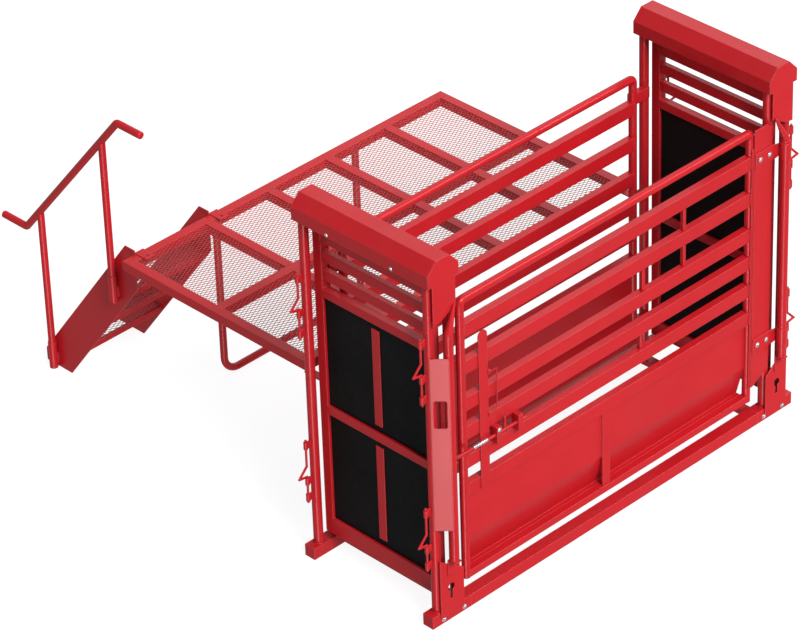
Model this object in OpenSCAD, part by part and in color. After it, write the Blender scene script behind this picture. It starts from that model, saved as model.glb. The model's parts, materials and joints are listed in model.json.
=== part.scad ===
/* [Overall] */
// Length of the base along the alley
chute_l = 2500; // [2080:1:3000]
// Width over the two base rails
chute_w = 850; // [700:1:1020]
// Height from the ground to the hood ridge
frame_h = 1980; // [1650:1:2380]

/* [Tubes] */
// Side of the square base tube
base_tube = 64; // [52:1:76]
// Wall of every tube
tube_wall = 3; // [2:0.5:4]
// Diameter of the end frame posts
post_d = 48; // [40:1:57]
// Diameter of the bent pipe around each side panel
panel_pipe_d = 42; // [35:1:50]
// Diameter of the latch post and the hinge post
side_post_d = 45; // [38:1:52]
// Diameter of the handrail and leg tube
rail_pipe_d = 38; // [32:1:45]

/* [End frames] */
// Clear slot between the outer and inner posts, where the gate slides
slot_w = 72; // [60:1:86]
// Depth of the hood along the alley
hood_depth = 191; // [170:1:229]
// Height of the hood's vertical lip
hood_lip = 66; // [55:1:79]
// Rise of the hood's sloped facets
hood_rise = 58; // [49:1:69]
// Width of the flat on the hood ridge
hood_flat = 82; // [69:1:98]
// Overhang of the hood past the base rails at each side
hood_overhang = 6; // [5:1:7]
// Sheet thickness of hoods, covers and brackets
sheet_t = 4; // [3:0.5:5]
// Length of the foot tube under each pair of posts
foot_l = 250; // [240:1:300]
// Height of the bottom cross beam
cross_beam_h = 32; // [27:1:38]
// Depth of the bottom cross beam
cross_beam_d = 50; // [42:1:60]

/* [Side panels] */
// Height of a flat rail
rail_h = 72; // [60:1:86]
// Width of a flat rail
rail_w = 38; // [32:1:42]
// Drop from the hood's lip to the top of the panel pipe
panel_drop = 162; // [135:1:194]
// Drop from the top of the panel pipe to the top flat rail
first_rail_drop = 142; // [120:1:170]
// Spacing of the upper flat rails
upper_pitch = 199; // [166:1:238]
// Spacing of the lower flat rails
lower_pitch = 158; // [132:1:189]
// Height of the panel's bottom edge above the ground
panel_z0 = 152; // [127:1:182]
// Height of the sloped kick sheet
kick_h = 165; // [138:1:198]
// How far the kick sheet leans inwards
kick_lean = 45; // [38:1:54]
// Inward offset of the fixed left wall from the post line
wall_inset = 40; // [33:1:48]
// Gap between the near posts and the axis of the panels' latch edge
latch_gap = 50; // [42:1:60]
// Gap between the far posts and the axis of the panels' hinge edge
hinge_gap = 100; // [84:1:119]

/* [Sliding end gates] */
// Thickness of the gate frame
gate_t = 38; // [32:1:45]
// Face width of the gate uprights
upright_w = 50; // [42:1:60]
// Height of the gate's cross rails
gate_rail_h = 46; // [38:1:55]
// Height of the louvre bars
louvre_h = 54; // [45:1:64]
// Spacing of the louvre bars
louvre_pitch = 100; // [84:1:119]
// Thickness of the dark infill boards
board_t = 10; // [8:1:12]
// Width of the strips on the boards
strip_w = 48; // [40:1:57]
// Ground clearance of the gates
gate_z0 = 115; // [96:1:138]
// Radius of the hanger rollers
roller_r = 16; // [13:1:18]
// Travel of the sliding gates
gate_travel = 680; // [560:1:700]

/* [Platform] */
// Length of the platform along the alley
platform_l = 2175; // [1813:1:2600]
// Width of the platform
platform_w = 1284; // [1070:1:1540]
// Height of the walking surface
platform_z = 950; // [800:1:1140]
// Gap between the platform and the base
platform_gap = 120; // [100:1:144]
// Height and width of the platform beams
beam = 50; // [42:1:60]
// Width of the first bay, beside the stairs
stair_bay = 500; // [417:1:600]
// Span of the U-shaped leg
leg_span = 950; // [792:1:1140]
// Thickness of the expanded metal deck
mesh_t = 3; // [2.5:0.5:3.5]

/* [Stairs and handrail] */
// Width over the two stringers
stair_w = 490; // [408:1:588]
// Width of the stringer plate across its slope
stringer_w = 193; // [161:1:231]
// Thickness of the stringer plate
stringer_t = 5; // [4:1:6]
// Slope of the stairs
stair_slope = 53; // [48:1:58]
// Length of the stringer's level head
stair_head_l = 70; // [59:1:84]
// Depth of each tread
tread_d = 200; // [167:1:239]
// Height of the handrail at its lower post
handrail_h = 926; // [780:1:1110]
// Slope of the handrail
handrail_slope = 50; // [45:1:54]
// Length of the level grips at the handrail's ends
grip_l = 170; // [142:1:204]

/* [Drop pins] */
// Diameter of the bent drop pins
pin_d = 12; // [10:1:14]
// Reach of the pin axis from the post's face
pin_reach = 28; // [24:1:33]
// Length of a pin lug
lug_h = 38; // [32:1:45]
// How far the pin's nose stands out
nose_out = 50; // [42:1:60]

/* [Hidden] */
$fn = 48;

red = [0.80, 0.13, 0.15];
light_red = [0.88, 0.22, 0.24];
dark_red = [0.62, 0.09, 0.12];
black = [0.10, 0.10, 0.10];
steel = [0.72, 0.73, 0.74];

// Clearances
weld_gap = 0.3;     // root gap between tubes that are welded together
slide_gap = 0.5;    // handrail in its sockets, bolt in its guides
roll_gap = 0.3;     // roller on its track
bearing_gap = 0.06; // roller axle in its hanger
eps = 1;

// Places across the chute: x is 0 at the outer face of the left base rail
post_r = post_d / 2;
left_x = base_tube / 2;
right_x = chute_w - base_tube / 2;
// Places along the chute, measured from the near end; the far end is their mirror image
outer_y = 36 + post_r;
slot_y = outer_y + post_r + slot_w / 2;
inner_y = slot_y + slot_w / 2 + post_r;
hood_y0 = slot_y - hood_depth / 2;
hood_y1 = slot_y + hood_depth / 2;
// Heights
hood_z0 = frame_h - hood_rise - hood_lip;
lip_z = hood_z0 + hood_lip;
post_top = lip_z - 6;
track_z0 = hood_z0 + 5;
track_h = 46;
track_wall = 4;
track_slot = 20;
// Latch and hinge posts stand outside the right-hand cover plates
cover_x = chute_w + hood_overhang;
side_post_r = side_post_d / 2;
side_post_x = cover_x + sheet_t - 1.5 + side_post_r;
foot_plate_top = 362;
foot_plate_low = 257;
foot_plate_t = 6;
side_post_z0 = foot_plate_top - 12;
side_post_z1 = hood_z0 - 270;
hinge_y = chute_l - slot_y;
sleeve_r = side_post_r + 5;
sleeve_h = 88;
// Side panels
panel_r = panel_pipe_d / 2;
panel_bend_r = panel_r + 3;
panel_y0 = inner_y + post_r + latch_gap;
gate_y1 = chute_l - inner_y - post_r - hinge_gap;
panel_top = hood_z0 - panel_drop;
rail_tops = [for (i = [0:5]) panel_top - first_rail_drop
    - min(i, 2) * upper_pitch - max(i - 2, 0) * lower_pitch];
sheet_top = rail_tops[5] - rail_h;
wall_x = left_x + wall_inset;
hinge_zs = [sheet_top - 130, rail_tops[0] - 26];
// Sliding gates
gate_x0 = left_x + 13;
gate_x1 = right_x - 18;
louvre_top = hood_z0 - 62;
board_top = louvre_top - 3 * louvre_pitch - louvre_h + 6;
gate_mid_z = (board_top + gate_z0 + 88) / 2 - gate_rail_h / 2;
gate_sill_h = 88;
roller_xs = [gate_x1 - 85, gate_x1 - 25];
axle_r = 5;
axle_z = track_z0 + track_wall + roller_r + roll_gap;
hanger_t = 8;
// Platform
platform_x1 = -platform_gap;
platform_x0 = platform_x1 - platform_w;
platform_y0 = (chute_l - platform_l) / 2 + 15;
platform_y1 = platform_y0 + platform_l;
bay = (platform_l - beam - stair_bay) / 4;
joist_ys = [platform_y0, for (i = [0:4]) platform_y0 + stair_bay + i * bay];
mid_beam_x = (platform_x0 + platform_x1) / 2 - beam / 2;
leg_x = platform_x0 + beam / 2;
leg_y0 = platform_y0 + stair_bay + beam + rail_pipe_d;
leg_y1 = leg_y0 + leg_span;
leg_bend_r = 90;
// Stairs: the stringers run down towards -x from the platform's left edge
stair_y0 = platform_y0 + 80;
stair_y1 = stair_y0 + stair_w;
stringer_run = stringer_w / sin(stair_slope);
stair_top_x = platform_x0 - weld_gap;
stair_head_z = platform_z + 20;
stair_foot_x = stair_top_x - stair_head_l - stair_head_z / tan(stair_slope);
stair_toe_x = stair_foot_x + 55;
tread_count = 3;
tread_rise = platform_z / (tread_count + 1);
tread_h = 30;
tread_wall = 3;
// Handrail
rail_r = rail_pipe_d / 2;
rail_post_d = rail_pipe_d - 1;
socket_bore = rail_post_d / 2 + slide_gap;
socket_r = socket_bore + tube_wall;
rail_bend_r = rail_r + 3;
handrail_y = stair_y0 - socket_r - 2;
rail_post_xs = [stair_foot_x + 133, stair_foot_x + 647];
socket_zs = [2, edge_z(rail_post_xs[1]) - 235];
socket_h = 150;
function edge_z(x) = (x - stair_foot_x) * tan(stair_slope);
function rail_z(x) = handrail_h + (x - rail_post_xs[0]) * tan(handrail_slope);
grip_low_x = rail_post_xs[0] - 118;
grip_high_x = rail_post_xs[1] + 125;
// Drop pins
lug_zs = [[hood_z0 - 615, hood_z0 - 504, hood_z0 - 316], [326, 418, 620]];
pin_y = outer_y - post_r - pin_reach;
lug_r = 11;
// Extents in x: the handrail's lower grip and the hinge sleeves
x_min = grip_low_x - grip_l;
x_max = side_post_x + sleeve_r;

// Moves the chute so that the middle of its bounding box stands over the origin
module in_frame() translate([-(x_min + x_max) / 2, -chute_l / 2, 0]) children();

// Draws its children at the near end and mirrored at the far end
module both_ends() {
    children();
    far_end() children();
}
module far_end() translate([0, chute_l, 0]) mirror([0, 1, 0]) children();

// Hollow rectangular tube, open at both ends of its axis (0 = x, 1 = y, 2 = z)
module box_tube(size, axis) {
    difference() {
        cube(size);
        translate([for (i = [0:2]) i == axis ? -eps : tube_wall])
            cube([for (i = [0:2]) size[i] + (i == axis ? 2 * eps : -2 * tube_wall)]);
    }
}

// Hollow round pipe along z
module pipe(d, h) {
    difference() {
        cylinder(d = d, h = h);
        translate([0, 0, -eps]) cylinder(d = d - 2 * tube_wall, h = h + 2 * eps);
    }
}

// Quarter bend of a pipe in the yz plane, from +z at y = 0 to +y at z = 0, about its centre
module elbow(d, bend_r) {
    rotate([90, 0, 90])
        rotate_extrude(angle = 90)
            translate([bend_r, 0])
                difference() {
                    circle(d = d);
                    circle(d = d - 2 * tube_wall);
                }
}

// Solid round bar from a to b
module rod(a, b, d) {
    v = b - a;
    translate(a)
        rotate([0, acos(v[2] / norm(v)), atan2(v[1], v[0])])
            cylinder(d = d, h = norm(v));
}

// Plate standing in the yz plane, with its outline given as [y, z] points
module yz_plate(t) rotate([90, 0, 90]) linear_extrude(t) children();

module base_rails() color(red) in_frame()
    for (x = [0, chute_w - base_tube])
        translate([x, foot_l + weld_gap, 0])
            box_tube([base_tube, chute_l - 2 * foot_l - 2 * weld_gap, base_tube], 1);

module end_feet() color(red) in_frame() both_ends()
    for (x = [0, chute_w - base_tube])
        translate([x, 0, 0]) {
            box_tube([base_tube, foot_l, base_tube], 1);
            cube([base_tube, tube_wall, base_tube]);
        }

module post_set() {
    for (x = [left_x, right_x], y = [outer_y, inner_y])
        translate([x, y, base_tube + weld_gap]) pipe(post_d, post_top - base_tube - weld_gap);
}
module near_posts() color(red) in_frame() post_set();
module far_posts() color(red) in_frame() far_end() post_set();

module cross_beams() color(dark_red) in_frame() both_ends()
    translate([base_tube + weld_gap, foot_l - cross_beam_d - 2, 0])
        box_tube([chute_w - 2 * base_tube - 2 * weld_gap, cross_beam_d, cross_beam_h], 0);

// Hood profile in [y, z], grown inwards by t
module hood_profile(t) {
    slope = atan2(hood_rise, (hood_depth - hood_flat) / 2);
    inner_lip = hood_z0 + hood_lip - t * tan(slope / 2);
    inner_half = hood_flat / 2 - t * tan(slope / 2);
    polygon([
        [hood_y0 + t, hood_z0], [hood_y0 + t, inner_lip],
        [slot_y - inner_half, frame_h - t], [slot_y + inner_half, frame_h - t],
        [hood_y1 - t, inner_lip], [hood_y1 - t, hood_z0]
    ]);
}
module hood() {
    translate([-hood_overhang, 0, 0]) {
        translate([sheet_t, 0, 0])
            yz_plate(chute_w + 2 * hood_overhang - sheet_t)
                difference() {
                    hood_profile(0);
                    hood_profile(sheet_t);
                    translate([hood_y0 + sheet_t, hood_z0 - eps])
                        square([hood_depth - 2 * sheet_t, 2 * eps]);
                }
        yz_plate(sheet_t) hood_profile(0);
    }
}
module near_hood() color(red) in_frame() hood();
module far_hood() color(red) in_frame() far_end() hood();

// Cover on the right of each end frame: the hood's profile with a short skirt below it
module end_cover_plates() color(red) in_frame() both_ends()
    translate([cover_x + weld_gap, 0, 0])
        yz_plate(sheet_t)
            union() {
                hood_profile(0);
                polygon([
                    [outer_y - 10, hood_z0 + eps], [outer_y - 10, hood_z0 - 206],
                    [slot_y - 24, hood_z0 - 200], [hood_y1 - 23, hood_z0 - 148],
                    [hood_y1 - 23, hood_z0 + eps]
                ]);
            }

// Open channel in which the rollers run, with a slot for the hangers
module gate_tracks() color(steel) in_frame() both_ends()
    translate([-hood_overhang + sheet_t + weld_gap, slot_y - slot_w / 2 + weld_gap, track_z0])
        difference() {
            track_l = chute_w + 2 * hood_overhang - sheet_t - 2 * weld_gap;
            track_w = slot_w - 2 * weld_gap;
            cube([track_l, track_w, track_h]);
            translate([-eps, track_wall, track_wall])
                cube([track_l + 2 * eps, track_w - 2 * track_wall, track_h - 2 * track_wall]);
            translate([-eps, (track_w - track_slot) / 2, -eps])
                cube([track_l + 2 * eps, track_slot, track_wall + 2 * eps]);
        }

// Flat bars inside the lips, which the hood is bolted to
module hood_rails() color(red) in_frame() both_ends()
    for (y = [hood_y0 + sheet_t + weld_gap, inner_y + post_r + weld_gap])
        translate([-hood_overhang + sheet_t + weld_gap, y, hood_z0 + 4])
            cube([
                chute_w + 2 * hood_overhang - sheet_t - 2 * weld_gap,
                outer_y - post_r - hood_y0 - sheet_t - 2 * weld_gap, 44
            ]);

// Trapezoid plates on the right-hand feet, with a keyhole for the latch chain
module foot_plates() color(red) in_frame() both_ends()
    translate([chute_w + weld_gap, 0, 0])
        yz_plate(foot_plate_t)
            difference() {
                polygon([
                    [slot_y - 69, 36], [slot_y + 81, 36],
                    [slot_y + 81, foot_plate_low], [slot_y - 69, foot_plate_top]
                ]);
                translate([slot_y, 186]) circle(r = 22);
                translate([slot_y - 8, 120]) square([16, 66]);
            }

module side_post(y) translate([side_post_x, y, side_post_z0])
    pipe(side_post_d, side_post_z1 - side_post_z0);
module latch_post() color(red) in_frame() side_post(slot_y);
module hinge_post() color(red) in_frame() side_post(hinge_y);

// Plates that close the side posts' ends and tie them to the covers and feet
module post_caps() color(light_red) in_frame() both_ends() {
    shelf_x = chute_w + foot_plate_t + 2 * weld_gap;
    shelf_z = side_post_z0 - 6 - weld_gap;
    translate([shelf_x, slot_y - side_post_r, shelf_z])
        cube([side_post_x + side_post_r - shelf_x, side_post_d, 6]);
    translate([shelf_x, slot_y - side_post_r, shelf_z - 84]) cube([6, side_post_d, 84]);
    hull() {
        translate([side_post_x, slot_y, side_post_z1 + weld_gap])
            cylinder(r = side_post_r - 2.2, h = 5, $fn = 32);
        translate([cover_x + sheet_t + 2 * weld_gap + 6, hood_y1 - 40, hood_z0 - 146])
            cylinder(r = 6, h = 5, $fn = 32);
    }
}

// Flat guard across the gap between the outer post and the latch post, with a hand hole
module guard_plate() color(light_red) in_frame() {
    run = [side_post_x - right_x, slot_y - outer_y];
    width = norm(run);
    translate([right_x, outer_y, 0])
        rotate([0, 0, atan2(run[1], run[0])])
            translate([0, -post_r - weld_gap - sheet_t, 0])
                difference() {
                    translate([0, 0, foot_plate_top + 173])
                        cube([width, sheet_t, side_post_z1 - foot_plate_top - 283]);
                    translate([width / 2, 0, side_post_z1 - 411]) hand_hole(62, 148);
                }
}
module hand_hole(w, h) rotate([-90, 0, 0]) translate([0, 0, -eps])
    linear_extrude(sheet_t + 2 * eps)
        union() {
            square([w, h - w / 2], center = true);
            for (s = [-1, 1], t = [-1, 1])
                translate([s * (w / 2 - 12), t * (h / 2 - 12)]) circle(r = 12);
            square([w - 24, h], center = true);
        }

// Barrel lugs for the drop pins, on both outer posts of each end frame
module pin_lugs() color(red) in_frame() both_ends()
    for (x = [left_x, right_x], set = lug_zs, z = set)
        translate([x, pin_y, z])
            difference() {
                union() {
                    cylinder(r = lug_r, h = lug_h);
                    translate([-4, 0, 0])
                        cube([8, pin_reach + post_r - sqrt(post_r * post_r - 16) - weld_gap, lug_h]);
                }
                translate([0, 0, -eps]) cylinder(d = pin_d + 2 * slide_gap, h = lug_h + 2 * eps);
            }

// Bent drop pin: it hangs by its nose on the middle lug and passes through all three
module drop_pin(zs) {
    stop_z = zs[1] + lug_h + weld_gap + pin_d / 2;
    nose = [0, -nose_out, stop_z + 8];
    neck_z = stop_z + 60;
    top_z = zs[2] + lug_h + 12;
    rod([0, 0, zs[0] - 10], [0, 0, stop_z], pin_d);
    rod([0, 0, stop_z], nose, pin_d);
    rod(nose, [0, 0, neck_z], pin_d);
    rod([0, 0, neck_z], [0, 0, top_z], pin_d);
    for (p = [[0, 0, stop_z], nose, [0, 0, neck_z]])
        translate(p) sphere(d = pin_d + 0.6);
}
module pin_at(x, set) color(red) in_frame() translate([x, pin_y, 0]) drop_pin(lug_zs[set]);
module far_pin_at(x, set) color(red) in_frame()
    far_end() translate([x, pin_y, 0]) drop_pin(lug_zs[set]);
module near_left_upper_pin() pin_at(left_x, 0);
module near_left_lower_pin() pin_at(left_x, 1);
module near_right_upper_pin() pin_at(right_x, 0);
module near_right_lower_pin() pin_at(right_x, 1);
module far_left_upper_pin() far_pin_at(left_x, 0);
module far_left_lower_pin() far_pin_at(left_x, 1);
module far_right_upper_pin() far_pin_at(right_x, 0);
module far_right_lower_pin() far_pin_at(right_x, 1);

// Bent pipe around a side panel, from y0 to y1 in the plane x
module panel_frame(x, y0, y1) {
    bend_z = panel_top - panel_r - panel_bend_r;
    for (y = [y0, y1])
        translate([x, y, panel_z0]) pipe(panel_pipe_d, bend_z - panel_z0 - weld_gap);
    translate([x, y1 - panel_bend_r, bend_z]) elbow(panel_pipe_d, panel_bend_r);
    translate([x, y0 + panel_bend_r, bend_z])
        mirror([0, 1, 0]) elbow(panel_pipe_d, panel_bend_r);
    translate([x, y0 + panel_bend_r + weld_gap, panel_top - panel_r])
        rotate([-90, 0, 0]) pipe(panel_pipe_d, y1 - y0 - 2 * panel_bend_r - 2 * weld_gap);
}

// Cuts the ends of whatever lies between the two panel posts to fit round them
module coped(x, y0, y1) {
    difference() {
        children();
        for (y = [y0, y1])
            translate([x, y, 0]) cylinder(r = panel_r + weld_gap, h = frame_h);
    }
}
module panel_rails(x, y0, y1) {
    for (z = rail_tops)
        coped(x, y0, y1)
            translate([x - rail_w / 2, y0, z - rail_h]) box_tube([rail_w, y1 - y0, rail_h], 1);
    coped(x, y0, y1)
        translate([x - rail_w / 2, y0, panel_z0]) box_tube([rail_w, y1 - y0, rail_w], 1);
}

// Flat sheet under the lowest rail, its middle stiffener and the sloped kick sheet
// side is 1 when the inside of the chute lies towards -x
module panel_sheet(x, y0, y1, side) {
    span0 = y0 + panel_r + weld_gap;
    span = y1 - y0 - panel_pipe_d - 2 * weld_gap;
    sill_z = panel_z0 + rail_w;
    kick_z1 = sill_z + kick_h;
    translate([x - sheet_t / 2, span0, kick_z1 + weld_gap])
        cube([sheet_t, span, sheet_top - kick_z1 - 2 * weld_gap]);
    translate([x + side * (sheet_t / 2 + weld_gap + 5) - 5, (y0 + y1) / 2 - 60, sill_z + weld_gap])
        cube([10, 50, sheet_top - sill_z - 2 * weld_gap]);
    translate([x, span0 + span, 0])
        rotate([90, 0, 0])
            linear_extrude(span)
                polygon([
                    [-sheet_t / 2, kick_z1], [sheet_t / 2, kick_z1],
                    [sheet_t / 2 - side * kick_lean, sill_z + weld_gap],
                    [-sheet_t / 2 - side * kick_lean, sill_z + weld_gap]
                ]);
    shelf_w = kick_lean + sheet_t / 2 - rail_w / 2 - weld_gap;
    translate([x - side * (rail_w / 2 + weld_gap + shelf_w / 2) - shelf_w / 2, span0, sill_z - sheet_t])
        cube([shelf_w, span, sheet_t]);
}

module left_wall_frame() color(dark_red) in_frame() panel_frame(wall_x, panel_y0, gate_y1);
module left_wall_rails() color(dark_red) in_frame() panel_rails(wall_x, panel_y0, gate_y1);
module left_wall_sheet() color(dark_red) in_frame() panel_sheet(wall_x, panel_y0, gate_y1, -1);

// Plates that weld the left wall to the inner posts
module wall_brackets() color(dark_red) in_frame()
    for (z = [panel_z0 + 60, panel_top - 180])
        for (end = [[inner_y, panel_y0], [gate_y1, chute_l - inner_y]])
            difference() {
                translate([left_x + 4, end[0], z]) cube([wall_inset - 8, end[1] - end[0], 60]);
                for (post = [[left_x, inner_y, post_r], [left_x, chute_l - inner_y, post_r],
                        [wall_x, panel_y0, panel_r], [wall_x, gate_y1, panel_r]])
                    translate([post[0], post[1], 0]) cylinder(r = post[2] + weld_gap, h = frame_h);
            }

// Side gate, closed at rest; it turns about the hinge post's axis
module side_gate_frame() color(red) in_frame() panel_frame(right_x, panel_y0, gate_y1);
module side_gate_rails() color(red) in_frame() panel_rails(right_x, panel_y0, gate_y1);
module side_gate_sheet() color(red) in_frame() panel_sheet(right_x, panel_y0, gate_y1, 1);

// Wide plate along the gate's hinge edge, with its lower corner cut off
end_plate_x = right_x + panel_r + 5;
end_plate_y0 = gate_y1 + weld_gap;
end_plate_y1 = hinge_y - 62;
module hinge_end_plate() color(red) in_frame() {
    translate([end_plate_x, 0, 0])
        yz_plate(6)
            difference() {
                polygon([
                    [end_plate_y0, panel_z0 + 90], [end_plate_y0 + 8, panel_z0 + 90],
                    [end_plate_y1, panel_z0 + 150], [end_plate_y1, panel_top - 35],
                    [end_plate_y1 - 35, panel_top], [end_plate_y0, panel_top]
                ]);
                for (z = hinge_zs, y = strap_hole_ys)
                    translate([y, z]) circle(r = strap_hole_r);
            }
    translate([right_x + panel_r + weld_gap, gate_y1 - 12, panel_z0 + 90])
        cube([5 - weld_gap - 0.2, 24, panel_top - panel_z0 - 190]);
}

// Hinge straps: a sleeve on the hinge post and a flat tail bolted over the end plate
strap_hole_r = 8;
strap_hole_ys = [end_plate_y0 + 35, end_plate_y1 - 22];
strap_h = 84;
module hinge_straps() color(red) in_frame()
    for (z = hinge_zs)
        difference() {
            union() {
                translate([side_post_x, hinge_y, z - sleeve_h / 2]) cylinder(r = sleeve_r, h = sleeve_h);
                translate([end_plate_x + 6 + weld_gap, 0, 0])
                    yz_plate(6)
                        polygon([
                            [end_plate_y0 + 2, z - strap_h / 2], [end_plate_y0 + 2, z + strap_h / 2],
                            [end_plate_y1 - 12, z + strap_h / 2], [hinge_y, z + strap_h / 3],
                            [hinge_y, z - strap_h / 3], [end_plate_y1 - 12, z - strap_h / 2]
                        ]);
            }
            translate([side_post_x, hinge_y, z - sleeve_h / 2 - eps])
                cylinder(r = side_post_r + bearing_gap, h = sleeve_h + 2 * eps);
            for (y = strap_hole_ys)
                translate([end_plate_x, y, z])
                    rotate([0, 90, 0]) cylinder(r = strap_hole_r, h = 20);
        }

// Flat bar with a round top across the rails near the latch end
stiffener_y = panel_y0 + 118;
stiffener_w = 56;
module gate_stiffener() color(red) in_frame()
    translate([right_x + rail_w / 2 + weld_gap, 0, 0])
        yz_plate(6) {
            top_z = rail_tops[0] - rail_h - 10 - stiffener_w / 2;
            translate([stiffener_y - stiffener_w / 2, sheet_top + 6])
                square([stiffener_w, top_z - sheet_top - 6]);
            translate([stiffener_y, top_z]) circle(d = stiffener_w);
        }

// Short bars that tie neighbouring rails together
module gate_spacers() color(light_red) in_frame() {
    mid_y = (panel_y0 + gate_y1) / 2;
    for (spot = [[0, mid_y + 508], [1, mid_y + 508], [1, mid_y + 226], [3, mid_y + 210]])
        translate([right_x - 9, spot[1] - 9, rail_tops[spot[0] + 1] + weld_gap])
            cube([18, 18, rail_tops[spot[0]] - rail_h - rail_tops[spot[0] + 1] - 2 * weld_gap]);
}

// Slide bolt in the gap over the fifth rail; it shoots past the gate's edge into the keeper
bolt_gap_h = lower_pitch - rail_h;
bolt_z = rail_tops[4] + bolt_gap_h / 2;
bolt_r = 9;
bolt_x = right_x + rail_w / 2 + 6 + 2 * weld_gap + bolt_r + 5;
keeper_y = slot_y + side_post_r + weld_gap;
keeper_l = 26;
keeper_back = 10;
guide_ys = [stiffener_y + 50, stiffener_y + 190];
guide_w = 28;
module bolt_bore(y, l) translate([bolt_x, y - eps, bolt_z])
    rotate([-90, 0, 0]) cylinder(r = bolt_r + slide_gap, h = l + 2 * eps);
module bolt_guides() color(red) in_frame()
    for (y = guide_ys)
        difference() {
            guide_x = right_x + rail_w / 4;
            translate([guide_x, y, rail_tops[4] + weld_gap])
                cube([bolt_x + 16 - guide_x, guide_w, bolt_gap_h - 2 * weld_gap]);
            bolt_bore(y, guide_w);
        }
module latch_bolt() color(steel) in_frame() {
    bolt_y0 = keeper_y + keeper_l + 4;
    handle_y = guide_ys[0] + guide_w + 38;
    translate([bolt_x, bolt_y0, bolt_z])
        rotate([-90, 0, 0]) cylinder(r = bolt_r, h = guide_ys[1] + 60 - bolt_y0);
    translate([bolt_x, handle_y, bolt_z + bolt_r / 2]) cylinder(r = 6, h = 70);
}

// Two bars on the latch post, between which the bolt's tip comes to rest
keeper_t = 10;
module latch_keeper() color(red) in_frame()
    difference() {
        for (z = [bolt_z - bolt_r - slide_gap - keeper_t, bolt_z + bolt_r + slide_gap])
            translate([bolt_x - 15, keeper_y - keeper_back, z])
                cube([30, keeper_l + keeper_back, keeper_t]);
        translate([side_post_x, slot_y, 0]) cylinder(r = side_post_r + weld_gap, h = frame_h);
    }

// Sliding end gate in the slot between the outer and inner posts
gate_y = slot_y - gate_t / 2;
module slide_gate_frame() {
    for (x = [gate_x0, gate_x1 - upright_w])
        translate([x, gate_y, gate_z0]) box_tube([upright_w, gate_t, louvre_top - gate_z0], 2);
    span_x = gate_x0 + upright_w + weld_gap;
    span_w = gate_x1 - gate_x0 - 2 * upright_w - 2 * weld_gap;
    for (bar = [[gate_z0, gate_sill_h], [gate_mid_z, gate_rail_h], [board_top, gate_rail_h]])
        translate([span_x, gate_y, bar[0]]) box_tube([span_w, gate_t, bar[1]], 0);
}
module slide_gate_louvres()
    for (i = [0:2])
        translate([gate_x0 + upright_w + weld_gap, gate_y + 6, louvre_top - i * louvre_pitch - louvre_h])
            box_tube([gate_x1 - gate_x0 - 2 * upright_w - 2 * weld_gap, gate_t - 12, louvre_h], 0);
board_spans = [
    [gate_z0 + gate_sill_h, gate_mid_z],
    [gate_mid_z + gate_rail_h, board_top]
];
module slide_gate_boards()
    for (span = board_spans)
        translate([gate_x0 + upright_w + weld_gap, slot_y - board_t / 2, span[0] + weld_gap])
            cube([
                gate_x1 - gate_x0 - 2 * upright_w - 2 * weld_gap, board_t,
                span[1] - span[0] - 2 * weld_gap
            ]);

// Hangers: plates from the gate's header up through the track's slot, with the axle bores,
// and the strips that clamp the boards
module slide_gate_hangers() {
    for (x = roller_xs)
        difference() {
            translate([x - 25, slot_y - hanger_t / 2, louvre_top + weld_gap])
                cube([50, hanger_t, axle_z + 12 - louvre_top - weld_gap]);
            translate([x, slot_y - hanger_t, axle_z])
                rotate([-90, 0, 0]) cylinder(r = axle_r + bearing_gap, h = 2 * hanger_t);
        }
    for (span = board_spans)
        translate([(gate_x0 + gate_x1 - strip_w) / 2, slot_y - board_t / 2 - 5 - weld_gap, span[0] + 36])
            cube([strip_w, 5, span[1] - span[0] - 72]);
}
module near_gate_frame() color(dark_red) in_frame() slide_gate_frame();
module near_gate_louvres() color(dark_red) in_frame() slide_gate_louvres();
module near_gate_boards() color(black) in_frame() slide_gate_boards();
module near_gate_hangers() color(dark_red) in_frame() slide_gate_hangers();
module far_gate_frame() color(dark_red) in_frame() far_end() slide_gate_frame();
module far_gate_louvres() color(dark_red) in_frame() far_end() slide_gate_louvres();
module far_gate_boards() color(black) in_frame() far_end() slide_gate_boards();
module far_gate_hangers() color(dark_red) in_frame() far_end() slide_gate_hangers();

// Double roller on one axle: a wheel on each side of the hanger
module roller(x) {
    inner = hanger_t / 2 + 2;
    outer = slot_w / 2 - weld_gap - track_wall - 2;
    translate([x, slot_y, axle_z])
        rotate([-90, 0, 0]) {
            translate([0, 0, -outer]) cylinder(r = axle_r, h = 2 * outer);
            for (side = [-outer, inner])
                translate([0, 0, side]) cylinder(r = roller_r, h = outer - inner);
        }
}
module near_roller_left() color(steel) in_frame() roller(roller_xs[0]);
module near_roller_right() color(steel) in_frame() roller(roller_xs[1]);
module far_roller_left() color(steel) in_frame() far_end() roller(roller_xs[0]);
module far_roller_right() color(steel) in_frame() far_end() roller(roller_xs[1]);

// Platform beams: one across each end, three along the alley and joists between those
beam_z = platform_z - beam;
bay_w = mid_beam_x - platform_x0 - beam;
bay_xs = [platform_x0 + beam, mid_beam_x + beam];
module platform_edge_beams() color(red) in_frame() {
    for (y = [platform_y0, platform_y1 - beam])
        translate([platform_x0, y, beam_z]) box_tube([platform_w, beam, beam], 0);
    for (x = [platform_x0, platform_x0 + platform_w - beam], y = [platform_y0, platform_y1 - beam])
        translate([x, y, beam_z]) cube([tube_wall, beam, beam]);
}
module long_beam(x) translate([x, platform_y0 + beam + weld_gap, beam_z])
    box_tube([beam, platform_l - 2 * beam - 2 * weld_gap, beam], 1);
module platform_joists() color(red) in_frame() {
    for (x = [platform_x0, mid_beam_x, platform_x1 - beam]) long_beam(x);
    for (i = [1:4], x = bay_xs)
        translate([x + weld_gap, joist_ys[i], beam_z]) box_tube([bay_w - 2 * weld_gap, beam, beam], 0);
}

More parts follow.
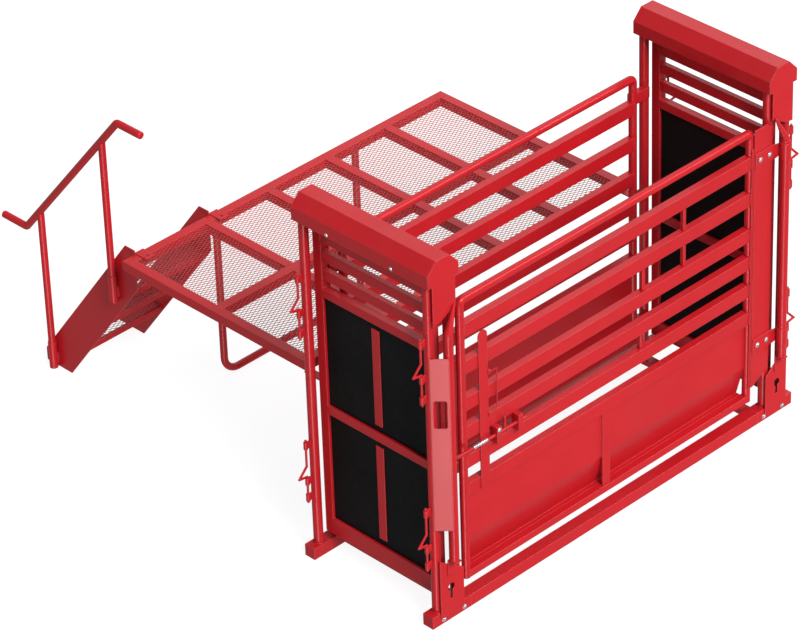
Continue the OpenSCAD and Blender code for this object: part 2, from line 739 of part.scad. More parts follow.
// Expanded metal panels, one in each bay, just below the beams' tops
module platform_mesh() color(light_red) in_frame()
    for (i = [0:4], x = bay_xs)
        translate([x + weld_gap, joist_ys[i] + beam + weld_gap, platform_z - mesh_t - 3])
            cube([bay_w - 2 * weld_gap, joist_ys[i + 1] - joist_ys[i] - beam - 2 * weld_gap, mesh_t]);

// U-shaped leg under the platform's outer beam
module platform_leg() color(red) in_frame() {
    leg_top = beam_z - weld_gap;
    for (y = [leg_y0, leg_y1])
        translate([leg_x, y, leg_bend_r + rail_r + weld_gap])
            pipe(rail_pipe_d, leg_top - leg_bend_r - rail_r - weld_gap);
    translate([leg_x, leg_y1 - leg_bend_r, leg_bend_r + rail_r])
        mirror([0, 0, 1]) elbow(rail_pipe_d, leg_bend_r);
    translate([leg_x, leg_y0 + leg_bend_r, leg_bend_r + rail_r])
        mirror([0, 1, 0]) mirror([0, 0, 1]) elbow(rail_pipe_d, leg_bend_r);
    translate([leg_x, leg_y0 + leg_bend_r + weld_gap, rail_r])
        rotate([-90, 0, 0]) pipe(rail_pipe_d, leg_y1 - leg_y0 - 2 * leg_bend_r - 2 * weld_gap);
}

// Arms that carry the platform's inner beam on the left-hand inner posts
module platform_brackets() color(red) in_frame()
    for (y = [inner_y, chute_l - inner_y]) {
        translate([platform_x1 + weld_gap, y - 20, beam_z + 4])
            cube([left_x - post_r - platform_x1 - 2 * weld_gap, 40, 8]);
        translate([left_x - post_r - 12 - weld_gap, y - 20, beam_z + 12])
            cube([12, 40, 50]);
    }

// Stringers: sloped plates with a blunt toe and a level head against the platform
module stair_stringers() color(dark_red) in_frame() {
    stair_hooks();
    for (y = [stair_y0, stair_y1 - stringer_t])
        translate([0, y + stringer_t, 0])
            rotate([90, 0, 0])
                linear_extrude(stringer_t)
                    polygon([
                        [stair_toe_x, 0], [stair_toe_x, edge_z(stair_toe_x)],
                        [stair_top_x - stair_head_l, stair_head_z], [stair_top_x, stair_head_z],
                        [stair_top_x, edge_z(stair_top_x - stringer_run)],
                        [stair_foot_x + stringer_run, 0]
                    ]);
}

// Hooks that hang the stringers on the platform's edge beam, beside each stringer
hook_w = 55;
hook_reach = 80;
module stair_hooks()
    for (y = [stair_y0 + stringer_t + weld_gap, stair_y1 + weld_gap]) {
        translate([stair_top_x - 6, y, platform_z - 90]) cube([6, hook_w, 90 + weld_gap + sheet_t]);
        difference() {
            translate([stair_top_x - 6, y, platform_z + weld_gap]) cube([hook_reach + 6, hook_w, sheet_t]);
            translate([stair_top_x + hook_reach - 25, y + hook_w / 2, platform_z]) cylinder(r = 9, h = 20);
        }
    }

// Treads: folded pans, open below
module stair_treads() color(red) in_frame()
    for (i = [1:tread_count])
        translate([
            stair_foot_x + i * tread_rise / tan(stair_slope) + (stringer_run - tread_d) / 2,
            stair_y0 + stringer_t + weld_gap, i * tread_rise - tread_h
        ]) {
            tread_l = stair_w - 2 * stringer_t - 2 * weld_gap;
            difference() {
                cube([tread_d, tread_l, tread_h]);
                translate([tread_wall, tread_wall, -eps])
                    cube([tread_d - 2 * tread_wall, tread_l - 2 * tread_wall, tread_h - tread_wall + eps]);
            }
        }

// Sockets on the near stringer and the removable handrail that drops into them
module handrail_sockets() color(red) in_frame()
    for (i = [0, 1])
        translate([rail_post_xs[i], handrail_y, socket_zs[i]]) {
            difference() {
                cylinder(r = socket_r, h = socket_h);
                translate([0, 0, 6]) cylinder(r = socket_bore, h = socket_h);
            }
            translate([-15, socket_r - 3, 20]) cube([30, 5 - weld_gap, 60]);
        }
module handrail_bend(x, z, turn) translate([x, handrail_y, z])
    rotate([90, 0, 0])
        rotate([0, 0, turn])
            rotate_extrude(angle = handrail_slope)
                translate([rail_bend_r, 0])
                    difference() {
                        circle(d = rail_pipe_d);
                        circle(d = rail_pipe_d - 2 * tube_wall);
                    }
module handrail() color(red) in_frame() {
    tangent = rail_bend_r * tan(handrail_slope / 2);
    low_z = rail_z(grip_low_x);
    high_z = rail_z(grip_high_x);
    slope_l = (grip_high_x - grip_low_x) / cos(handrail_slope) - 2 * tangent - 2 * weld_gap;
    for (i = [0, 1])
        difference() {
            foot_z = socket_zs[i] + 6 + weld_gap;
            translate([rail_post_xs[i], handrail_y, foot_z])
                pipe(rail_post_d, rail_z(rail_post_xs[i]) - foot_z);
            translate([grip_low_x, handrail_y, low_z])
                rotate([0, 90 - handrail_slope, 0])
                    cylinder(r = rail_r + weld_gap, h = slope_l + 2 * tangent);
        }
    translate([grip_low_x - grip_l, handrail_y, low_z])
        rotate([0, 90, 0]) pipe(rail_pipe_d, grip_l - tangent - weld_gap);
    handrail_bend(grip_low_x - tangent, low_z + rail_bend_r, -90);
    translate([grip_low_x, handrail_y, low_z])
        rotate([0, 90 - handrail_slope, 0])
            translate([0, 0, tangent + weld_gap]) pipe(rail_pipe_d, slope_l);
    handrail_bend(grip_high_x + tangent, high_z - rail_bend_r, 90);
    translate([grip_high_x + tangent + weld_gap, handrail_y, high_z])
        rotate([0, 90, 0]) pipe(rail_pipe_d, grip_l - tangent - weld_gap);
}

// Bolt heads: hood bolts on the outer faces and base bolts at the feet
module hex_head(d, h) cylinder(d = d, h = h, $fn = 6);
module frame_bolts() color(steel) in_frame() both_ends() {
    for (x = [chute_w * 0.26, chute_w * 0.74])
        translate([x, hood_y0 - weld_gap, hood_z0 + 12]) rotate([90, 0, 0]) hex_head(19, 8);
    for (y = [slot_y - 49, foot_l - 45])
        translate([chute_w + weld_gap, y, 22]) rotate([0, 90, 0]) hex_head(19, 8);
}

base_rails();
end_feet();
near_posts();
far_posts();
cross_beams();
near_hood();
far_hood();
end_cover_plates();
gate_tracks();
hood_rails();
foot_plates();
latch_post();
hinge_post();
post_caps();
guard_plate();
pin_lugs();
left_wall_frame();
left_wall_rails();
left_wall_sheet();
wall_brackets();
platform_edge_beams();
platform_joists();
platform_mesh();
platform_leg();
platform_brackets();
stair_stringers();
stair_treads();
handrail_sockets();
frame_bolts();
side_gate_frame();
side_gate_rails();
side_gate_sheet();
hinge_end_plate();
hinge_straps();
gate_stiffener();
gate_spacers();
bolt_guides();
latch_bolt();
latch_keeper();
near_gate_frame();
near_gate_louvres();
near_gate_boards();
near_gate_hangers();
far_gate_frame();
far_gate_louvres();
far_gate_boards();
far_gate_hangers();
near_roller_left();
near_roller_right();
far_roller_left();
far_roller_right();
handrail();
near_left_upper_pin();
near_left_lower_pin();
near_right_upper_pin();
near_right_lower_pin();
far_left_upper_pin();
far_left_lower_pin();
far_right_upper_pin();
far_right_lower_pin();
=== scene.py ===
import json
import math

import bmesh
import bpy
from mathutils import Matrix, Vector


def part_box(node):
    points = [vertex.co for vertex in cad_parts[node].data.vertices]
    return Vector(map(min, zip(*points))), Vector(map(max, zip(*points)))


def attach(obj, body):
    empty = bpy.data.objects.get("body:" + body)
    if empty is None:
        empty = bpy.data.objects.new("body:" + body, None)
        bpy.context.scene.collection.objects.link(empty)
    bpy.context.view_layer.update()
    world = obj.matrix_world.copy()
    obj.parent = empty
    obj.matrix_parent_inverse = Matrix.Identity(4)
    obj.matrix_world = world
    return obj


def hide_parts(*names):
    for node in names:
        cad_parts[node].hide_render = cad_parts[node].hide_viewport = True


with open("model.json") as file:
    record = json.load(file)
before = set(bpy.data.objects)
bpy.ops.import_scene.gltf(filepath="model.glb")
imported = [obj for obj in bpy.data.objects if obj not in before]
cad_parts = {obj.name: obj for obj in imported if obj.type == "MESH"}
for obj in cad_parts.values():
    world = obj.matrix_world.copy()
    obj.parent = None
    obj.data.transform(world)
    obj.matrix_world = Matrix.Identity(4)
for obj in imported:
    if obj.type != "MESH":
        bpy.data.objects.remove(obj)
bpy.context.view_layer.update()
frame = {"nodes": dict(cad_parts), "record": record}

# Every place below is in millimetres from the outer near corner of the left foot.
ORIGIN = Vector(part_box("end_feet")[0])


def at(x, y, z):
    return ORIGIN + Vector((x, y, z)) / 1000.0


# ---------------------------------------------------------------- camera and light
CAMERA_AZIMUTH, CAMERA_ELEVATION, CAMERA_ROLL = 46.349, 33.463, -2.061
CAMERA_PLACE = (12308, -11070, 12271)
CAMERA_LENS, CAMERA_SENSOR = 196.37, 36


def camera():
    azimuth, elevation, roll = map(math.radians, (CAMERA_AZIMUTH, CAMERA_ELEVATION, CAMERA_ROLL))
    back = Vector((math.sin(azimuth) * math.cos(elevation),
                   -math.cos(azimuth) * math.cos(elevation), math.sin(elevation)))
    level = Vector((math.cos(azimuth), math.sin(azimuth), 0))
    upward = back.cross(level)
    right = math.cos(roll) * level + math.sin(roll) * upward
    up = math.cos(roll) * upward - math.sin(roll) * level
    cam = bpy.data.objects.new("camera", bpy.data.cameras.new("camera"))
    cam.data.sensor_width = CAMERA_SENSOR
    cam.data.lens = CAMERA_LENS
    cam.data.clip_end = 200
    turn = Matrix((right, up, back)).transposed()
    cam.matrix_world = Matrix.Translation(at(*CAMERA_PLACE)) @ turn.to_4x4()
    bpy.context.collection.objects.link(cam)
    bpy.context.scene.camera = cam


# Each light: the direction it comes from, its strength and its spread in degrees.
# The bounce comes from below, through a floor that casts no shadow, and the rim lights top edges.
SUNS = {
    "key": ((0.74, -0.15, 0.66), 4.3, 26),
    "fill": ((-0.35, 0.75, 0.55), 0.5, 40),
    "bounce": ((0.576, -0.604, -0.551), 0.8, 16),
    "rim": ((0.547, 0.576, 0.600), 0.7, 10),
}
SKY_STRENGTH = 0.42


def sun(name, towards, strength, spread):
    lamp = bpy.data.objects.new(name, bpy.data.lights.new(name, "SUN"))
    lamp.data.energy = strength
    lamp.data.angle = math.radians(spread)
    lamp.rotation_euler = Vector(towards).to_track_quat("Z", "Y").to_euler()
    bpy.context.collection.objects.link(lamp)


def studio():
    world = bpy.data.worlds.new("studio")
    world.use_nodes = True
    background = world.node_tree.nodes["Background"]
    background.inputs["Color"].default_value = (1, 1, 1, 1)
    background.inputs["Strength"].default_value = SKY_STRENGTH
    bpy.context.scene.world = world
    bpy.context.scene.view_settings.view_transform = "Standard"
    for name, (towards, strength, spread) in SUNS.items():
        sun(name, towards, strength, spread)


# ---------------------------------------------------------------- node materials
class Nodes:
    def __init__(self, name):
        self.mat = bpy.data.materials.new(name)
        self.mat.use_nodes = True
        self.tree = self.mat.node_tree
        self.shader = self.tree.nodes["Principled BSDF"]
        self.where = self.add("ShaderNodeTexCoord").outputs["Object"]

    def add(self, kind, **values):
        node = self.tree.nodes.new(kind)
        for key, value in values.items():
            if hasattr(node, key):
                setattr(node, key, value)
            else:
                node.inputs[key].default_value = value
        return node

    def link(self, out, into):
        self.tree.links.new(out, into)

    def noise(self, scale, detail=3.0, rough=0.55, stretch=None):
        node = self.add("ShaderNodeTexNoise", Scale=scale, Detail=detail, Roughness=rough)
        source = self.where
        if stretch:
            mapping = self.add("ShaderNodeMapping")
            mapping.inputs["Scale"].default_value = stretch
            self.link(source, mapping.inputs["Vector"])
            source = mapping.outputs["Vector"]
        self.link(source, node.inputs["Vector"])
        return node.outputs["Fac"]

    def remap(self, value, lo, hi, to_lo, to_hi):
        node = self.add("ShaderNodeMapRange")
        for i, number in enumerate((lo, hi, to_lo, to_hi)):
            node.inputs[i + 1].default_value = number
        self.link(value, node.inputs["Value"])
        return node.outputs["Result"]

    def math(self, operation, a, b):
        node = self.add("ShaderNodeMath", operation=operation)
        for socket, value in zip(node.inputs, (a, b)):
            if isinstance(value, (int, float)):
                socket.default_value = value
            else:
                self.link(value, socket)
        return node.outputs["Value"]

    def mix(self, factor, a, b):
        node = self.add("ShaderNodeMix", data_type="RGBA")
        self.link(factor, node.inputs["Factor"])
        for socket, value in ((node.inputs[6], a), (node.inputs[7], b)):
            if isinstance(value, tuple):
                socket.default_value = (*value, 1)
            else:
                self.link(value, socket)
        return node.outputs[2]

    def edges(self, radius):
        """How sharply the surface turns here, 0 on a flat to 1 on an edge, and the rounded normal."""
        bevel = self.add("ShaderNodeBevel", samples=4)
        bevel.inputs["Radius"].default_value = radius
        geometry = self.add("ShaderNodeNewGeometry")
        dot = self.add("ShaderNodeVectorMath", operation="DOT_PRODUCT")
        self.link(bevel.outputs["Normal"], dot.inputs[0])
        self.link(geometry.outputs["Normal"], dot.inputs[1])
        return self.remap(dot.outputs["Value"], 0.97, 0.75, 0.0, 1.0), bevel.outputs["Normal"]

    def bump(self, height, strength, distance, normal=None):
        node = self.add("ShaderNodeBump", Strength=strength, Distance=distance)
        self.link(height, node.inputs["Height"])
        if normal:
            self.link(normal, node.inputs["Normal"])
        return node.outputs["Normal"]

    def finish(self, color, roughness, normal):
        self.link(color, self.shader.inputs["Base Color"])
        self.link(roughness, self.shader.inputs["Roughness"])
        self.link(normal, self.shader.inputs["Normal"])
        return self.mat


def paint(name, base, deep, wear, scuffs):
    """Glossy enamel: cloudy colour, faint dust, orange peel, paler rubbed edges, and a painted highlight that
    lightens every edge.
    """
    n = Nodes(name)
    cloud = n.remap(n.noise(1.7, 4), 0.35, 0.7, 0.0, 0.55)
    mottle = n.remap(n.noise(7, 3), 0.40, 0.65, 0.0, 0.18)
    color = n.mix(n.math("ADD", cloud, mottle), base, deep)
    edge, rounded = n.edges(0.005)
    patches = n.remap(n.noise(9, 4, 0.6), 0.44, 0.66, 0.0, 1.0)
    rub = n.math("MULTIPLY", n.math("MULTIPLY", edge, patches), wear)
    color = n.mix(rub, color, (min(1, base[0] * 1.35), base[1] * 3.2, base[2] * 2.6))
    dust = n.remap(n.noise(3.3, 3, 0.5), 0.48, 0.74, 0.0, 0.05 * scuffs)
    color = n.mix(dust, color, (0.42, 0.20, 0.18))
    # Painted highlight: every edge, top and bottom alike, is lightened towards pale pink as if it caught the
    # light.
    color = n.mix(n.math("MULTIPLY", edge, 0.35), color, (0.80, 0.16, 0.16))
    streak = n.noise(3, 1, 0.4, (1, 1, 0.3))
    rough = n.math("ADD", n.remap(streak, 0.3, 0.7, 0.28, 0.34), n.math("MULTIPLY", rub, 0.2))
    peel = n.bump(n.noise(520, 2, 0.5), 0.08, 0.0008, rounded)
    n.shader.inputs["Coat Weight"].default_value = 0.03
    n.shader.inputs["Coat Roughness"].default_value = 0.15
    n.shader.inputs["Specular IOR Level"].default_value = 0.24
    return n.finish(color, rough, peel)


def board(name):
    """Black plastic sheet: fine grain, faint drag marks and dusty scuffs."""
    n = Nodes(name)
    cloud = n.remap(n.noise(3.1, 4), 0.35, 0.7, 0.0, 1.0)
    color = n.mix(cloud, (0.0048, 0.0047, 0.0049), (0.0075, 0.0072, 0.0074))
    drag = n.remap(n.noise(11, 4, 0.6, (0.12, 1, 3.0)), 0.60, 0.78, 0.0, 0.3)
    color = n.mix(drag, color, (0.011, 0.0105, 0.010))
    n.shader.inputs["Specular IOR Level"].default_value = 0.05
    rough = n.remap(n.noise(40, 3), 0.3, 0.7, 0.42, 0.60)
    rounded = n.edges(0.0015)[1]
    return n.finish(color, rough, n.bump(n.noise(900, 2), 0.18, 0.0006, rounded))


def zinc(name, tint):
    """Bright zinc plate: spangle, small stains and soft edges."""
    n = Nodes(name)
    spangle = n.add("ShaderNodeTexVoronoi", Scale=240.0)
    n.link(n.where, spangle.inputs["Vector"])
    grain = n.remap(spangle.outputs["Distance"], 0.0, 0.7, 0.0, 1.0)
    color = n.mix(grain, tint, tuple(0.93 * c for c in tint))
    stain = n.remap(n.noise(35, 3, 0.5), 0.55, 0.75, 0.0, 0.25)
    color = n.mix(stain, color, (0.34, 0.31, 0.28))
    rough = n.remap(n.noise(80, 3), 0.3, 0.7, 0.24, 0.42)
    rounded = n.edges(0.001)[1]
    n.shader.inputs["Metallic"].default_value = 0.9
    return n.finish(color, rough, n.bump(grain, 0.06, 0.0004, rounded))


# ---------------------------------------------------------------- mesh building
class Soup:
    """Collects closed shells, in millimetres, and turns them into one mesh."""

    def __init__(self):
        self.verts, self.faces = [], []

    def shell(self, verts, faces):
        base = len(self.verts)
        self.verts += [tuple(v) for v in verts]
        self.faces += [tuple(base + i for i in face) for face in faces]

    def tube(self, path, radius, sides=8, closed=False):
        """A round bar along the points of path; radius is a number or one number per point."""
        path = [Vector(p) for p in path]
        count = len(path)
        if not hasattr(radius, "__len__"):
            radius = [radius] * count
        verts, side = [], None
        for i, point in enumerate(path):
            if closed:
                along = (path[(i + 1) % count] - path[i - 1]).normalized()
            else:
                along = (path[min(i + 1, count - 1)] - path[max(i - 1, 0)]).normalized()
            if side is None:
                side = along.orthogonal().normalized()
            side = (side - along * side.dot(along)).normalized()
            other = along.cross(side)
            for k in range(sides):
                angle = 2 * math.pi * k / sides
                spoke = math.cos(angle) * side + math.sin(angle) * other
                verts.append(point + radius[i] * spoke)
        faces = []
        for i in range(count if closed else count - 1):
            j = (i + 1) % count
            for k in range(sides):
                m = (k + 1) % sides
                faces.append((i * sides + k, i * sides + m, j * sides + m, j * sides + k))
        if not closed:
            faces.append(tuple(range(sides - 1, -1, -1)))
            faces.append(tuple((count - 1) * sides + k for k in range(sides)))
        self.shell(verts, faces)

    def turned(self, place, axis, profile, sides=24, phase=0.0):
        """A closed lathe shape: profile is [(distance along axis, radius), ...]."""
        axis = Vector(axis).normalized()
        side = axis.orthogonal().normalized()
        other = axis.cross(side)
        place = Vector(place)
        verts, rings = [], len(profile)
        for height, radius in profile:
            for k in range(sides):
                angle = 2 * math.pi * k / sides + phase
                spoke = math.cos(angle) * side + math.sin(angle) * other
                verts.append(place + axis * height + radius * spoke)
        faces = [
            tuple(range(sides - 1, -1, -1)),
            tuple((rings - 1) * sides + k for k in range(sides)),
        ]
        for i in range(rings - 1):
            for k in range(sides):
                m = (k + 1) % sides
                low, high = i * sides, (i + 1) * sides
                faces.append((low + k, low + m, high + m, high + k))
        self.shell(verts, faces)

    def slab(self, low, high, bevel=1.0):
        """A box with chamfered edges."""
        low, high = Vector(low), Vector(high)
        verts = []
        for corner in range(8):
            signs = [1 if corner >> i & 1 else -1 for i in range(3)]
            point = [high[i] if signs[i] > 0 else low[i] for i in range(3)]
            for keep in range(3):
                verts.append([point[i] - (0 if i == keep else signs[i] * bevel) for i in range(3)])
        faces = []
        for keep in range(3):
            a, b = [i for i in range(3) if i != keep]
            for sign in (0, 1):
                turn = ((0, 0), (1, 0), (1, 1), (0, 1))
                quad = [((sign << keep) | (p << a) | (q << b)) * 3 + keep for p, q in turn]
                faces.append(tuple(quad if sign else reversed(quad)))
            for p in (0, 1):
                for q in (0, 1):
                    c0 = (p << a) | (q << b)
                    c1 = c0 | (1 << keep)
                    faces.append((c0 * 3 + a, c1 * 3 + a, c1 * 3 + b, c0 * 3 + b))
        faces += [(c * 3, c * 3 + 1, c * 3 + 2) for c in range(8)]
        self.shell(verts, faces)

    def piece(self, name, body, mat, smooth=True):
        mesh = bpy.data.meshes.new(name)
        mesh.from_pydata([at(*v) for v in self.verts], [], self.faces)
        work = bmesh.new()
        work.from_mesh(mesh)
        bmesh.ops.recalc_face_normals(work, faces=work.faces)
        work.to_mesh(mesh)
        work.free()
        obj = bpy.data.objects.new(name, mesh)
        bpy.context.collection.objects.link(obj)
        mesh.materials.append(mat)
        if smooth:
            mesh.polygons.foreach_set("use_smooth", [True] * len(mesh.polygons))
            mesh.set_sharp_from_angle(angle=math.radians(38))
        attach(obj, body)
        return obj


def expanded_metal(soup, x0, x1, y0, y1, z0, z1, long_way=40.0, short_way=20.0, strand=2.6):
    """Diamond mesh: zigzag strands along y that meet their neighbours at each knuckle."""
    knuckle = 5.0
    rows = max(2, round((x1 - x0) / (short_way / 2)))
    pitch = (x1 - x0) / rows
    steps = max(2, round((y1 - y0) / (long_way / 2)))
    step = (y1 - y0) / steps
    swing = (pitch - strand) / 2
    lean = 0.7
    for row in range(rows):
        middle = x0 + (row + 0.5) * pitch
        verts = []
        for k in range(steps + 1):
            x = middle + (swing if (row + k) % 2 else -swing)
            for y in (y0 + k * step - knuckle / 2, y0 + k * step + knuckle / 2):
                y = min(max(y, y0), y1)
                for dx, z in ((-1, z0), (1, z0), (1, z1), (-1, z1)):
                    shift = lean if z == z1 else -lean
                    verts.append((x + dx * (strand / 2) + shift, y, z))
        faces = []
        rings = len(verts) // 4
        for i in range(rings - 1):
            for k in range(4):
                m = (k + 1) % 4
                faces.append((i * 4 + k, i * 4 + m, i * 4 + 4 + m, i * 4 + 4 + k))
        faces += [(3, 2, 1, 0), tuple((rings - 1) * 4 + k for k in range(4))]
        soup.shell(verts, faces)


def bead(soup, a, b, radius=2.4):
    """A weld bead from a to b: overlapping ripples, tapered at both ends."""
    a, b = Vector(a), Vector(b)
    length = (b - a).length
    count = max(6, int(length / 2.2))
    path = [a.lerp(b, i / count) for i in range(count + 1)]
    radii = []
    for i in range(count + 1):
        taper = min(1.0, 0.35 + min(i, count - i) * 0.35)
        radii.append(radius * taper * (1.0 + 0.16 * (1 if i % 2 else -1)))
    soup.tube(path, radii, 6)


def ring_bead(soup, middle, radius, thick=2.6, axis="z"):
    """A weld bead round a pipe."""
    count = 56
    path, radii = [], []
    for i in range(count):
        angle = 2 * math.pi * i / count
        c, s = radius * math.cos(angle), radius * math.sin(angle)
        offset = {"z": (c, s, 0), "x": (0, c, s), "y": (c, 0, s)}[axis]
        path.append(Vector(middle) + Vector(offset))
        radii.append(thick * (1.0 + 0.15 * (1 if i % 2 else -1)))
    soup.tube(path, radii, 6, closed=True)


def hex_bolt(soup, place, axis, across=19.0, head=7.0):
    """Hexagon head with a chamfered top on a washer."""
    washer = across * 0.68
    soup.turned(place, axis, [(0, washer), (0.2, washer + 0.3), (1.8, washer + 0.3), (2.0, washer)], 28)
    r = across / 2
    soup.turned(place, axis, [(2.0, r), (head - 1.4, r), (head, r * 0.84), (head, r * 0.5)], 6, 0.3)


def dome_bolt(soup, place, axis, r=10.0, head=6.0):
    """Round carriage-bolt head on a washer."""
    soup.turned(place, axis, [(0, r * 1.25), (0.2, r * 1.3), (1.4, r * 1.3), (1.6, r * 1.25)], 28)
    arc = [(1.6 + (head - 1.6) * math.sin(t * math.pi / 12), r * math.cos(t * math.pi / 12)) for t in range(0, 6)]
    soup.turned(place, axis, arc + [(head, r * 0.12)], 24)


# ---------------------------------------------------------------- the scene
camera()
studio()
RED = paint("red_paint", (0.42, 0.009, 0.014), (0.36, 0.006, 0.010), 0.3, 0.4)
DECK = paint("deck_paint", (0.38, 0.011, 0.016), (0.30, 0.007, 0.010), 0.7, 1.0)
BLACK = board("board_black")
ZINC = zinc("zinc_steel", (0.70, 0.71, 0.73))
LOOK = {"red_paint": RED, "deck_red": DECK, "board_black": BLACK, "zinc_steel": ZINC}

slots = {entry["node"]: entry["material_slot"] for entry in frame["record"]["subparts"]}
for name, obj in frame["nodes"].items():
    for material_slot in obj.material_slots:
        material_slot.material = LOOK[slots[name]]

# Driving numbers shared with the CAD source, in millimetres
CHUTE_L, CHUTE_W = 2500.0, 850.0
LEFT_X, RIGHT_X = 32.0, 818.0
OUTER_Y, INNER_Y = 60.0, 180.0
PANEL_Y0, PANEL_Y1, PANEL_R = 254.0, 2196.0, 21.0
RAIL_TOPS = (1552.0, 1353.0, 1154.0, 996.0, 838.0, 680.0)
RAIL_H, RAIL_W = 72.0, 38.0
WALL_X = 72.0
DECK_X = ((-1354.0, -787.0), (-737.0, -170.0))
DECK_Y = (177.5, 677.5, 1083.75, 1490.0, 1896.25, 2302.5)
DECK_Z = 950.0
BEAM = 50.0
TREAD_COUNT, TREAD_D, TREAD_RISE, TREAD_H = 3, 200.0, 237.5, 30
STAIR_SLOPE = 53
BASE_TOP, POST_BEAD_R = 65.5, 25.3
FOOT_PLATE_X, FOOT_PLATE_YS, FOOT_PLATE_ZS = 851.0, (53, 199), (66, 250)
BASE_BOLT_X, BASE_BOLT_YS, BASE_BOLT_Z = 850.3, (71.0, 205.0), 22
HOOD_BOLT_Y, HOOD_BOLT_Z = 24.2, 1868
HINGE_ZS, STRAP_BOLT_YS = (478.0, 1526.0), (2231.3, 2296.0)
STRAP_X, STRAP_BACK_X = 856.3, 844.0
BOLT_R = 9.0
HANDRAIL_H, HANDRAIL_DROP_X, HANDRAIL_SLOPE, RAIL_PIPE_R = 926, 118, 50, 19


def both_ends(y):
    return (y, CHUTE_L - y)


def local_box(node):
    """A node's lowest and highest corners, in millimetres from ORIGIN."""
    return (Vector(corner) * 1000 - ORIGIN * 1000 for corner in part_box(node))


# Expanded metal deck, one panel in each bay, inside the CAD sheet's space
deck = Soup()
for x0, x1 in DECK_X:
    for y0, y1 in zip(DECK_Y, DECK_Y[1:]):
        expanded_metal(deck, x0 + 1, x1 - 1, y0 + BEAM + 1, y1 - 1, DECK_Z - 6, DECK_Z - 3)
deck_piece = deck.piece("deck_mesh", "frame", DECK, smooth=False)
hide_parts("platform_mesh")

# Treads: folded pans with an expanded metal top
low, high = local_box("stair_treads")
tread_run = TREAD_RISE / math.tan(math.radians(STAIR_SLOPE))
treads = Soup()
for i in range(TREAD_COUNT):
    x0 = low.x + i * tread_run
    x1 = x0 + TREAD_D
    top = (i + 1) * TREAD_RISE
    y0, y1 = low.y, high.y
    for x in (x0, x1 - 4):
        treads.slab((x, y0, top - TREAD_H), (x + 4, y1, top), 0.8)
    for y in (y0, y1 - 4):
        treads.slab((x0 + 4, y, top - TREAD_H), (x1 - 4, y + 4, top), 0.8)
    for x in (x0 + 4, x1 - 22):
        treads.slab((x, y0 + 4, top - 6), (x + 18, y1 - 4, top - 3), 0.6)
    expanded_metal(treads, x0 + 5, x1 - 5, y0 + 5, y1 - 5, top - 3, top - 0.5)
tread_piece = treads.piece("tread_grating", "frame", DECK, smooth=False)
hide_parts("stair_treads")

# Weld beads on the frame
welds = Soup()
for x in (LEFT_X, RIGHT_X):
    for y in (OUTER_Y, INNER_Y):
        for end in both_ends(y):
            ring_bead(welds, (x, end, BASE_TOP), POST_BEAD_R)
for z in RAIL_TOPS:
    for x in (WALL_X - RAIL_W / 2, WALL_X + RAIL_W / 2):
        for y in (PANEL_Y0 + PANEL_R - 10, PANEL_Y1 - PANEL_R + 10):
            bead(welds, (x, y, z - RAIL_H + 3), (x, y, z - 3))
for i, y in enumerate(DECK_Y):
    for x0, x1 in DECK_X:
        for x in (x0, x1):
            bead(welds, (x, y + 3, DECK_Z - 0.6), (x, y + BEAM - 3, DECK_Z - 0.6), 2.0)
for end in (1, -1):
    base = 0 if end == 1 else CHUTE_L
    for y in FOOT_PLATE_YS:
        foot, top = ((FOOT_PLATE_X, base + end * y, z) for z in FOOT_PLATE_ZS)
        bead(welds, foot, top, 2.2)
frame_welds = welds.piece("frame_welds", "frame", RED)

# Weld beads on the side gate
gate = Soup()
for z in RAIL_TOPS:
    for x in (RIGHT_X - RAIL_W / 2, RIGHT_X + RAIL_W / 2):
        for y in (PANEL_Y0 + PANEL_R - 10, PANEL_Y1 - PANEL_R + 10):
            bead(gate, (x, y, z - RAIL_H + 3), (x, y, z - 3))
for z in HINGE_ZS:
    bead(gate, (858.0, 2330, z + 36), (858.0, 2366, z + 30), 2.2)
    bead(gate, (858.0, 2330, z - 36), (858.0, 2366, z - 30), 2.2)
gate.piece("side_gate_welds", "side_gate", RED)

# Bolts: base and hood bolts take the place of the plain CAD heads
heads = Soup()
for x in (CHUTE_W * 0.26, CHUTE_W * 0.74):
    for y, way in ((HOOD_BOLT_Y, -1), (CHUTE_L - HOOD_BOLT_Y, 1)):
        dome_bolt(heads, (x, y, HOOD_BOLT_Z), (0, way, 0), 7.5, 6.0)
for y in BASE_BOLT_YS:
    for end in both_ends(y):
        hex_bolt(heads, (BASE_BOLT_X, end, BASE_BOLT_Z), (1, 0, 0))
bolt_piece = heads.piece("frame_bolt_heads", "frame", ZINC)
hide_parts("frame_bolts")

# Bolts through the hinge straps, and the screw head on the slide bolt's first guide
rod_low, rod_high = local_box("latch_bolt")
ROD_X, ROD_Z = (rod_low.x + rod_high.x) / 2, rod_low.z + BOLT_R
strap = Soup()
for z in HINGE_ZS:
    for y in STRAP_BOLT_YS:
        dome_bolt(strap, (STRAP_X, y, z), (1, 0, 0), 10.5, 6.5)
        hex_bolt(strap, (STRAP_BACK_X, y, z), (-1, 0, 0), 19, 9)
dome_bolt(strap, (ROD_X + 16.3, 436, ROD_Z + 28), (1, 0, 0), 9.0, 6.0)
strap.piece("strap_bolts", "side_gate", ZINC)

# Wire clip beside the stiffener
clip = Soup()
points = [
    (846, 406, 1002), (848, 448, 1012), (850, 450, 1120),
    (852, 446, 1180), (852, 448, 1236), (848, 408, 1232),
]
smooth_path = []
for a, b in zip(points, points[1:]):
    for t in range(6):
        smooth_path.append(Vector(a).lerp(Vector(b), t / 6))
smooth_path.append(Vector(points[-1]))
clip.tube(smooth_path, 3.0, 8)
for z in (1002, 1232):
    clip.slab((838.5, 398, z - 12), (850, 412, z + 12), 1.2)
clip.piece("wire_clip", "side_gate", RED)

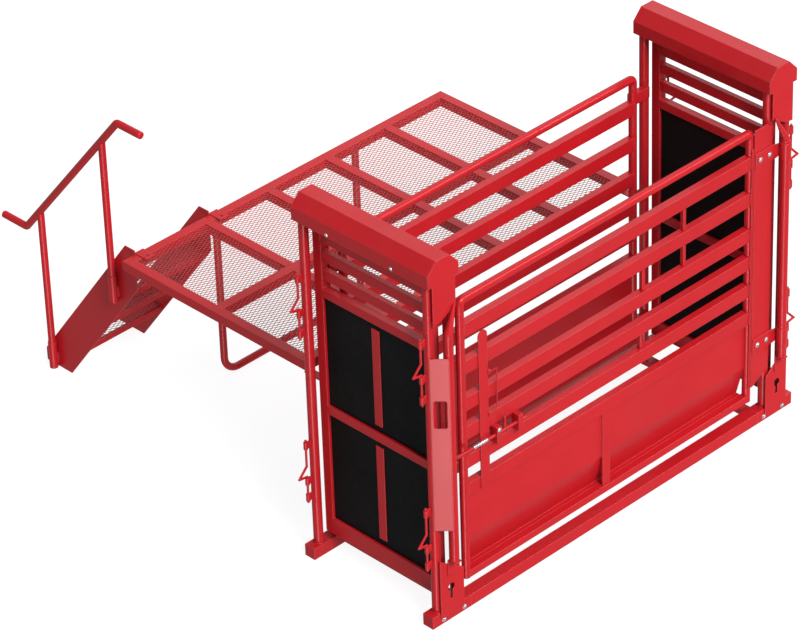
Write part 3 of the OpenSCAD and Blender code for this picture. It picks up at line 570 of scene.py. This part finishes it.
# Bare zinc stretch of the slide bolt
rod = Soup()
rod.turned((ROD_X, 282, ROD_Z), (0, 1, 0), [(0, 9.0), (0.4, 9.4), (88, 9.4), (88.4, 9.0)], 28)
rod.piece("latch_rod_sleeve", "bolt", ZINC)

# Plugs in the handrail's open ends
plugs = Soup()
rail_low, rail_high = local_box("handrail")
rail_y = (rail_low.y + rail_high.y) / 2
low_end_z = HANDRAIL_H - HANDRAIL_DROP_X * math.tan(math.radians(HANDRAIL_SLOPE))
for x, way, z in ((rail_low.x, -1, low_end_z), (rail_high.x, 1, rail_high.z - RAIL_PIPE_R)):
    arc = [(-14, 15.4), (0.2, 15.4), (0.2, 18.8)]
    arc += [(0.4 + 4.5 * math.sin(t * math.pi / 12), 18.8 * math.cos(t * math.pi / 12)) for t in range(1, 6)]
    plugs.turned((x, rail_y, z), (way, 0, 0), arc + [(4.9, 1.5)], 28)
plugs.piece("handrail_plugs", "handrail_body", RED)

# Pale floor: seen by the camera, but sends no light or shadow onto the object
FLOOR_HALF, FLOOR_Z, FLOOR_GLOW = 40, -0.002, 0.89
corners = [(-1, -1), (1, -1), (1, 1), (-1, 1)]
floor = bpy.data.meshes.new("floor")
floor.from_pydata([(FLOOR_HALF * x, FLOOR_HALF * y, FLOOR_Z) for x, y in corners], [], [(0, 1, 2, 3)])
floor_obj = bpy.data.objects.new("floor", floor)
bpy.context.collection.objects.link(floor_obj)
pale = Nodes("pale_floor")
pale_cloud = pale.remap(pale.noise(0.3, 3), 0.3, 0.7, 0.0, 1.0)
pale_color = pale.mix(pale_cloud, (0.16, 0.16, 0.16), (0.14, 0.14, 0.14))
pale.link(pale_color, pale.shader.inputs["Base Color"])
pale.shader.inputs["Roughness"].default_value = 0.9
pale.shader.inputs["Emission Color"].default_value = (1, 1, 1, 1)
pale.shader.inputs["Emission Strength"].default_value = FLOOR_GLOW
floor.materials.append(pale.mat)
floor_obj.visible_shadow = False
floor_obj.visible_diffuse = False
floor_obj.visible_glossy = False
